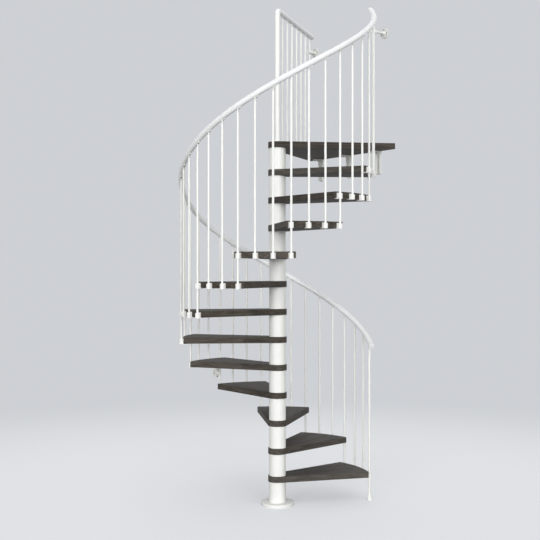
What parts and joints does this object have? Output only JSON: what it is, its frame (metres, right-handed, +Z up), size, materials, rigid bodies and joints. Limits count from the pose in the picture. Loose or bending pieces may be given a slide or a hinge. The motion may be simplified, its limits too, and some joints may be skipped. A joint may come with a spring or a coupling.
{
  "type": "spiral staircase",
  "caption": "Spiral staircase with a white centre pole, dark wedge-shaped wood treads, a triangular landing, slim balusters, a round spiral handrail and wall brackets.",
  "frame": {"origin": "stair axis at floor level, on the underside of the base plate", "axes": "+Z up the pole; +X from the pole square to the landing's straight outer edge; the stair climbs turning left seen from above"},
  "size_m": [1.4975, 1.5224, 3.7974],
  "materials": {
    "white_metal": "satin white powder coat",
    "white_plastic": "satin white",
    "zinc_steel": "plain zinc",
    "dark_wood": "dark brown stain, matt lacquer"
  },
  "bodies": {
    "root": {"balusters_lower": "white_metal", "balusters_middle": "white_metal", "balusters_upper": "white_metal", "base_cover": "white_metal", "base_plate": "zinc_steel", "clamps_lower": "white_plastic", "clamps_middle": "white_plastic", "clamps_upper": "white_plastic", "first_baluster": "white_metal", "handrail_caps": "white_plastic", "handrail_lower": "white_metal", "handrail_middle": "white_metal", "handrail_upper": "white_metal", "landing": "dark_wood", "landing_balusters": "white_metal", "landing_post": "white_metal", "landing_rail": "white_metal", "landing_saddles": "white_plastic", "landing_supports": "white_metal", "last_baluster": "white_metal", "pole_foot_sleeve": "white_metal", "pole_sleeves": "white_metal", "saddles_lower": "white_plastic", "saddles_middle": "white_plastic", "saddles_upper": "white_plastic", "tie_rod": "zinc_steel", "tread_01": "dark_wood", "tread_02": "dark_wood", "tread_03": "dark_wood", "tread_04": "dark_wood", "tread_05": "dark_wood", "tread_06": "dark_wood", "tread_07": "dark_wood", "tread_08": "dark_wood", "tread_09": "dark_wood", "tread_10": "dark_wood", "tread_11": "dark_wood", "tread_12": "dark_wood", "wall_bracket_landing": "white_metal", "wall_bracket_lower": "white_metal", "wall_bracket_upper": "white_metal"}
  },
  "joints": []
}
